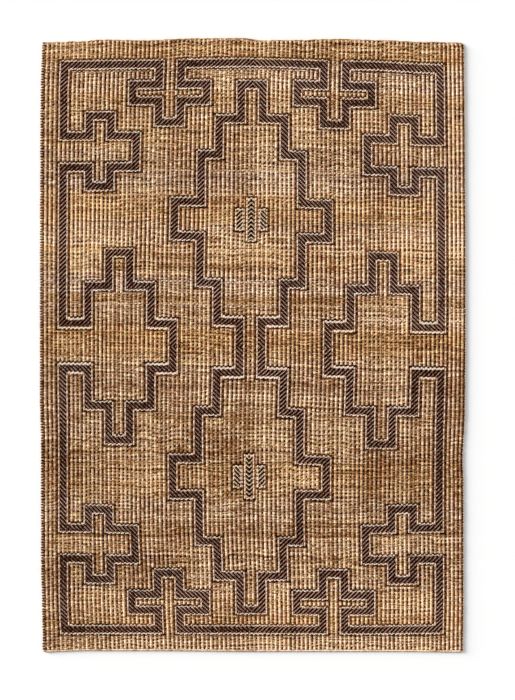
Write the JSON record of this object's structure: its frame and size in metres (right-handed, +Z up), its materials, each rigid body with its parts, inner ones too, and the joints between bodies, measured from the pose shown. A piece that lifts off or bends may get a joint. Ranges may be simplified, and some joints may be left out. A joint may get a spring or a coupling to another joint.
{
  "type": "flat-woven jute rug",
  "caption": "Flat-woven jute floor rug with lengthwise ribs, bound by its own edges, lying flat.",
  "frame": {"origin": "centre of the underside, on the floor", "axes": "+X across the rug, +Y along its length and its ribs, +Z up from the floor"},
  "size_m": [1.6, 2.308, 0.008],
  "materials": {
    "natural_jute": "dry, hairy natural jute yarn in straw, gold and rose-brown lots, matt",
    "brown_warp": "dark brown dyed jute yarn, matt",
    "aubergine_band": "near-black aubergine dyed jute yarn in a twill, matt",
    "pale_outline": "pale rose-cream jute yarn, matt"
  },
  "bodies": {
    "root": {"jute_rug": "natural_jute"}
  },
  "joints": []
}
